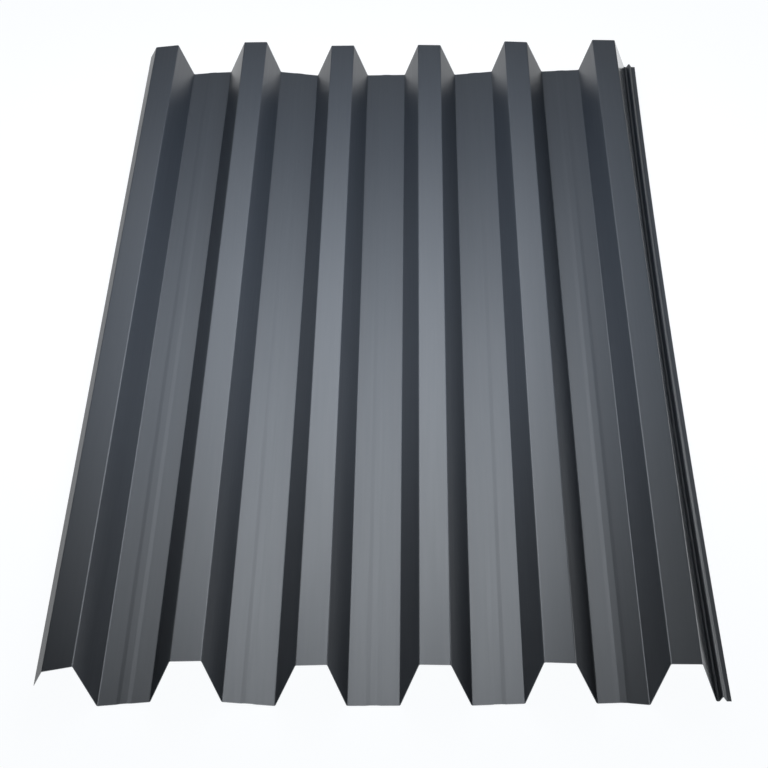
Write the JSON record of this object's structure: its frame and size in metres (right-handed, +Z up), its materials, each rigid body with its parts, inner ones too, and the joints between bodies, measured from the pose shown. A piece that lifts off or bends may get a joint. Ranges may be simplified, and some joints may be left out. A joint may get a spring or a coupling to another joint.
{
  "type": "corrugated metal sheet",
  "caption": "Trapezoidal corrugated steel sheet, dark grey, with wide pans, narrow ribs, a lap flange and an underlap edge with a drainage bead.",
  "frame": {"origin": "floor level under the middle of the sheet's bounding box", "axes": "+Y runs along the ribs, which is the length of the sheet; +X runs across the ribs from the lap flange to the underlap edge; +Z is up, away from the floor, on the crests' side"},
  "size_m": [1.1108, 3, 0.0817],
  "materials": {
    "coated_steel": "satin dark grey polyester coating on galvanised steel"
  },
  "bodies": {
    "root": {"profiled_sheet": "coated_steel"}
  },
  "joints": []
}
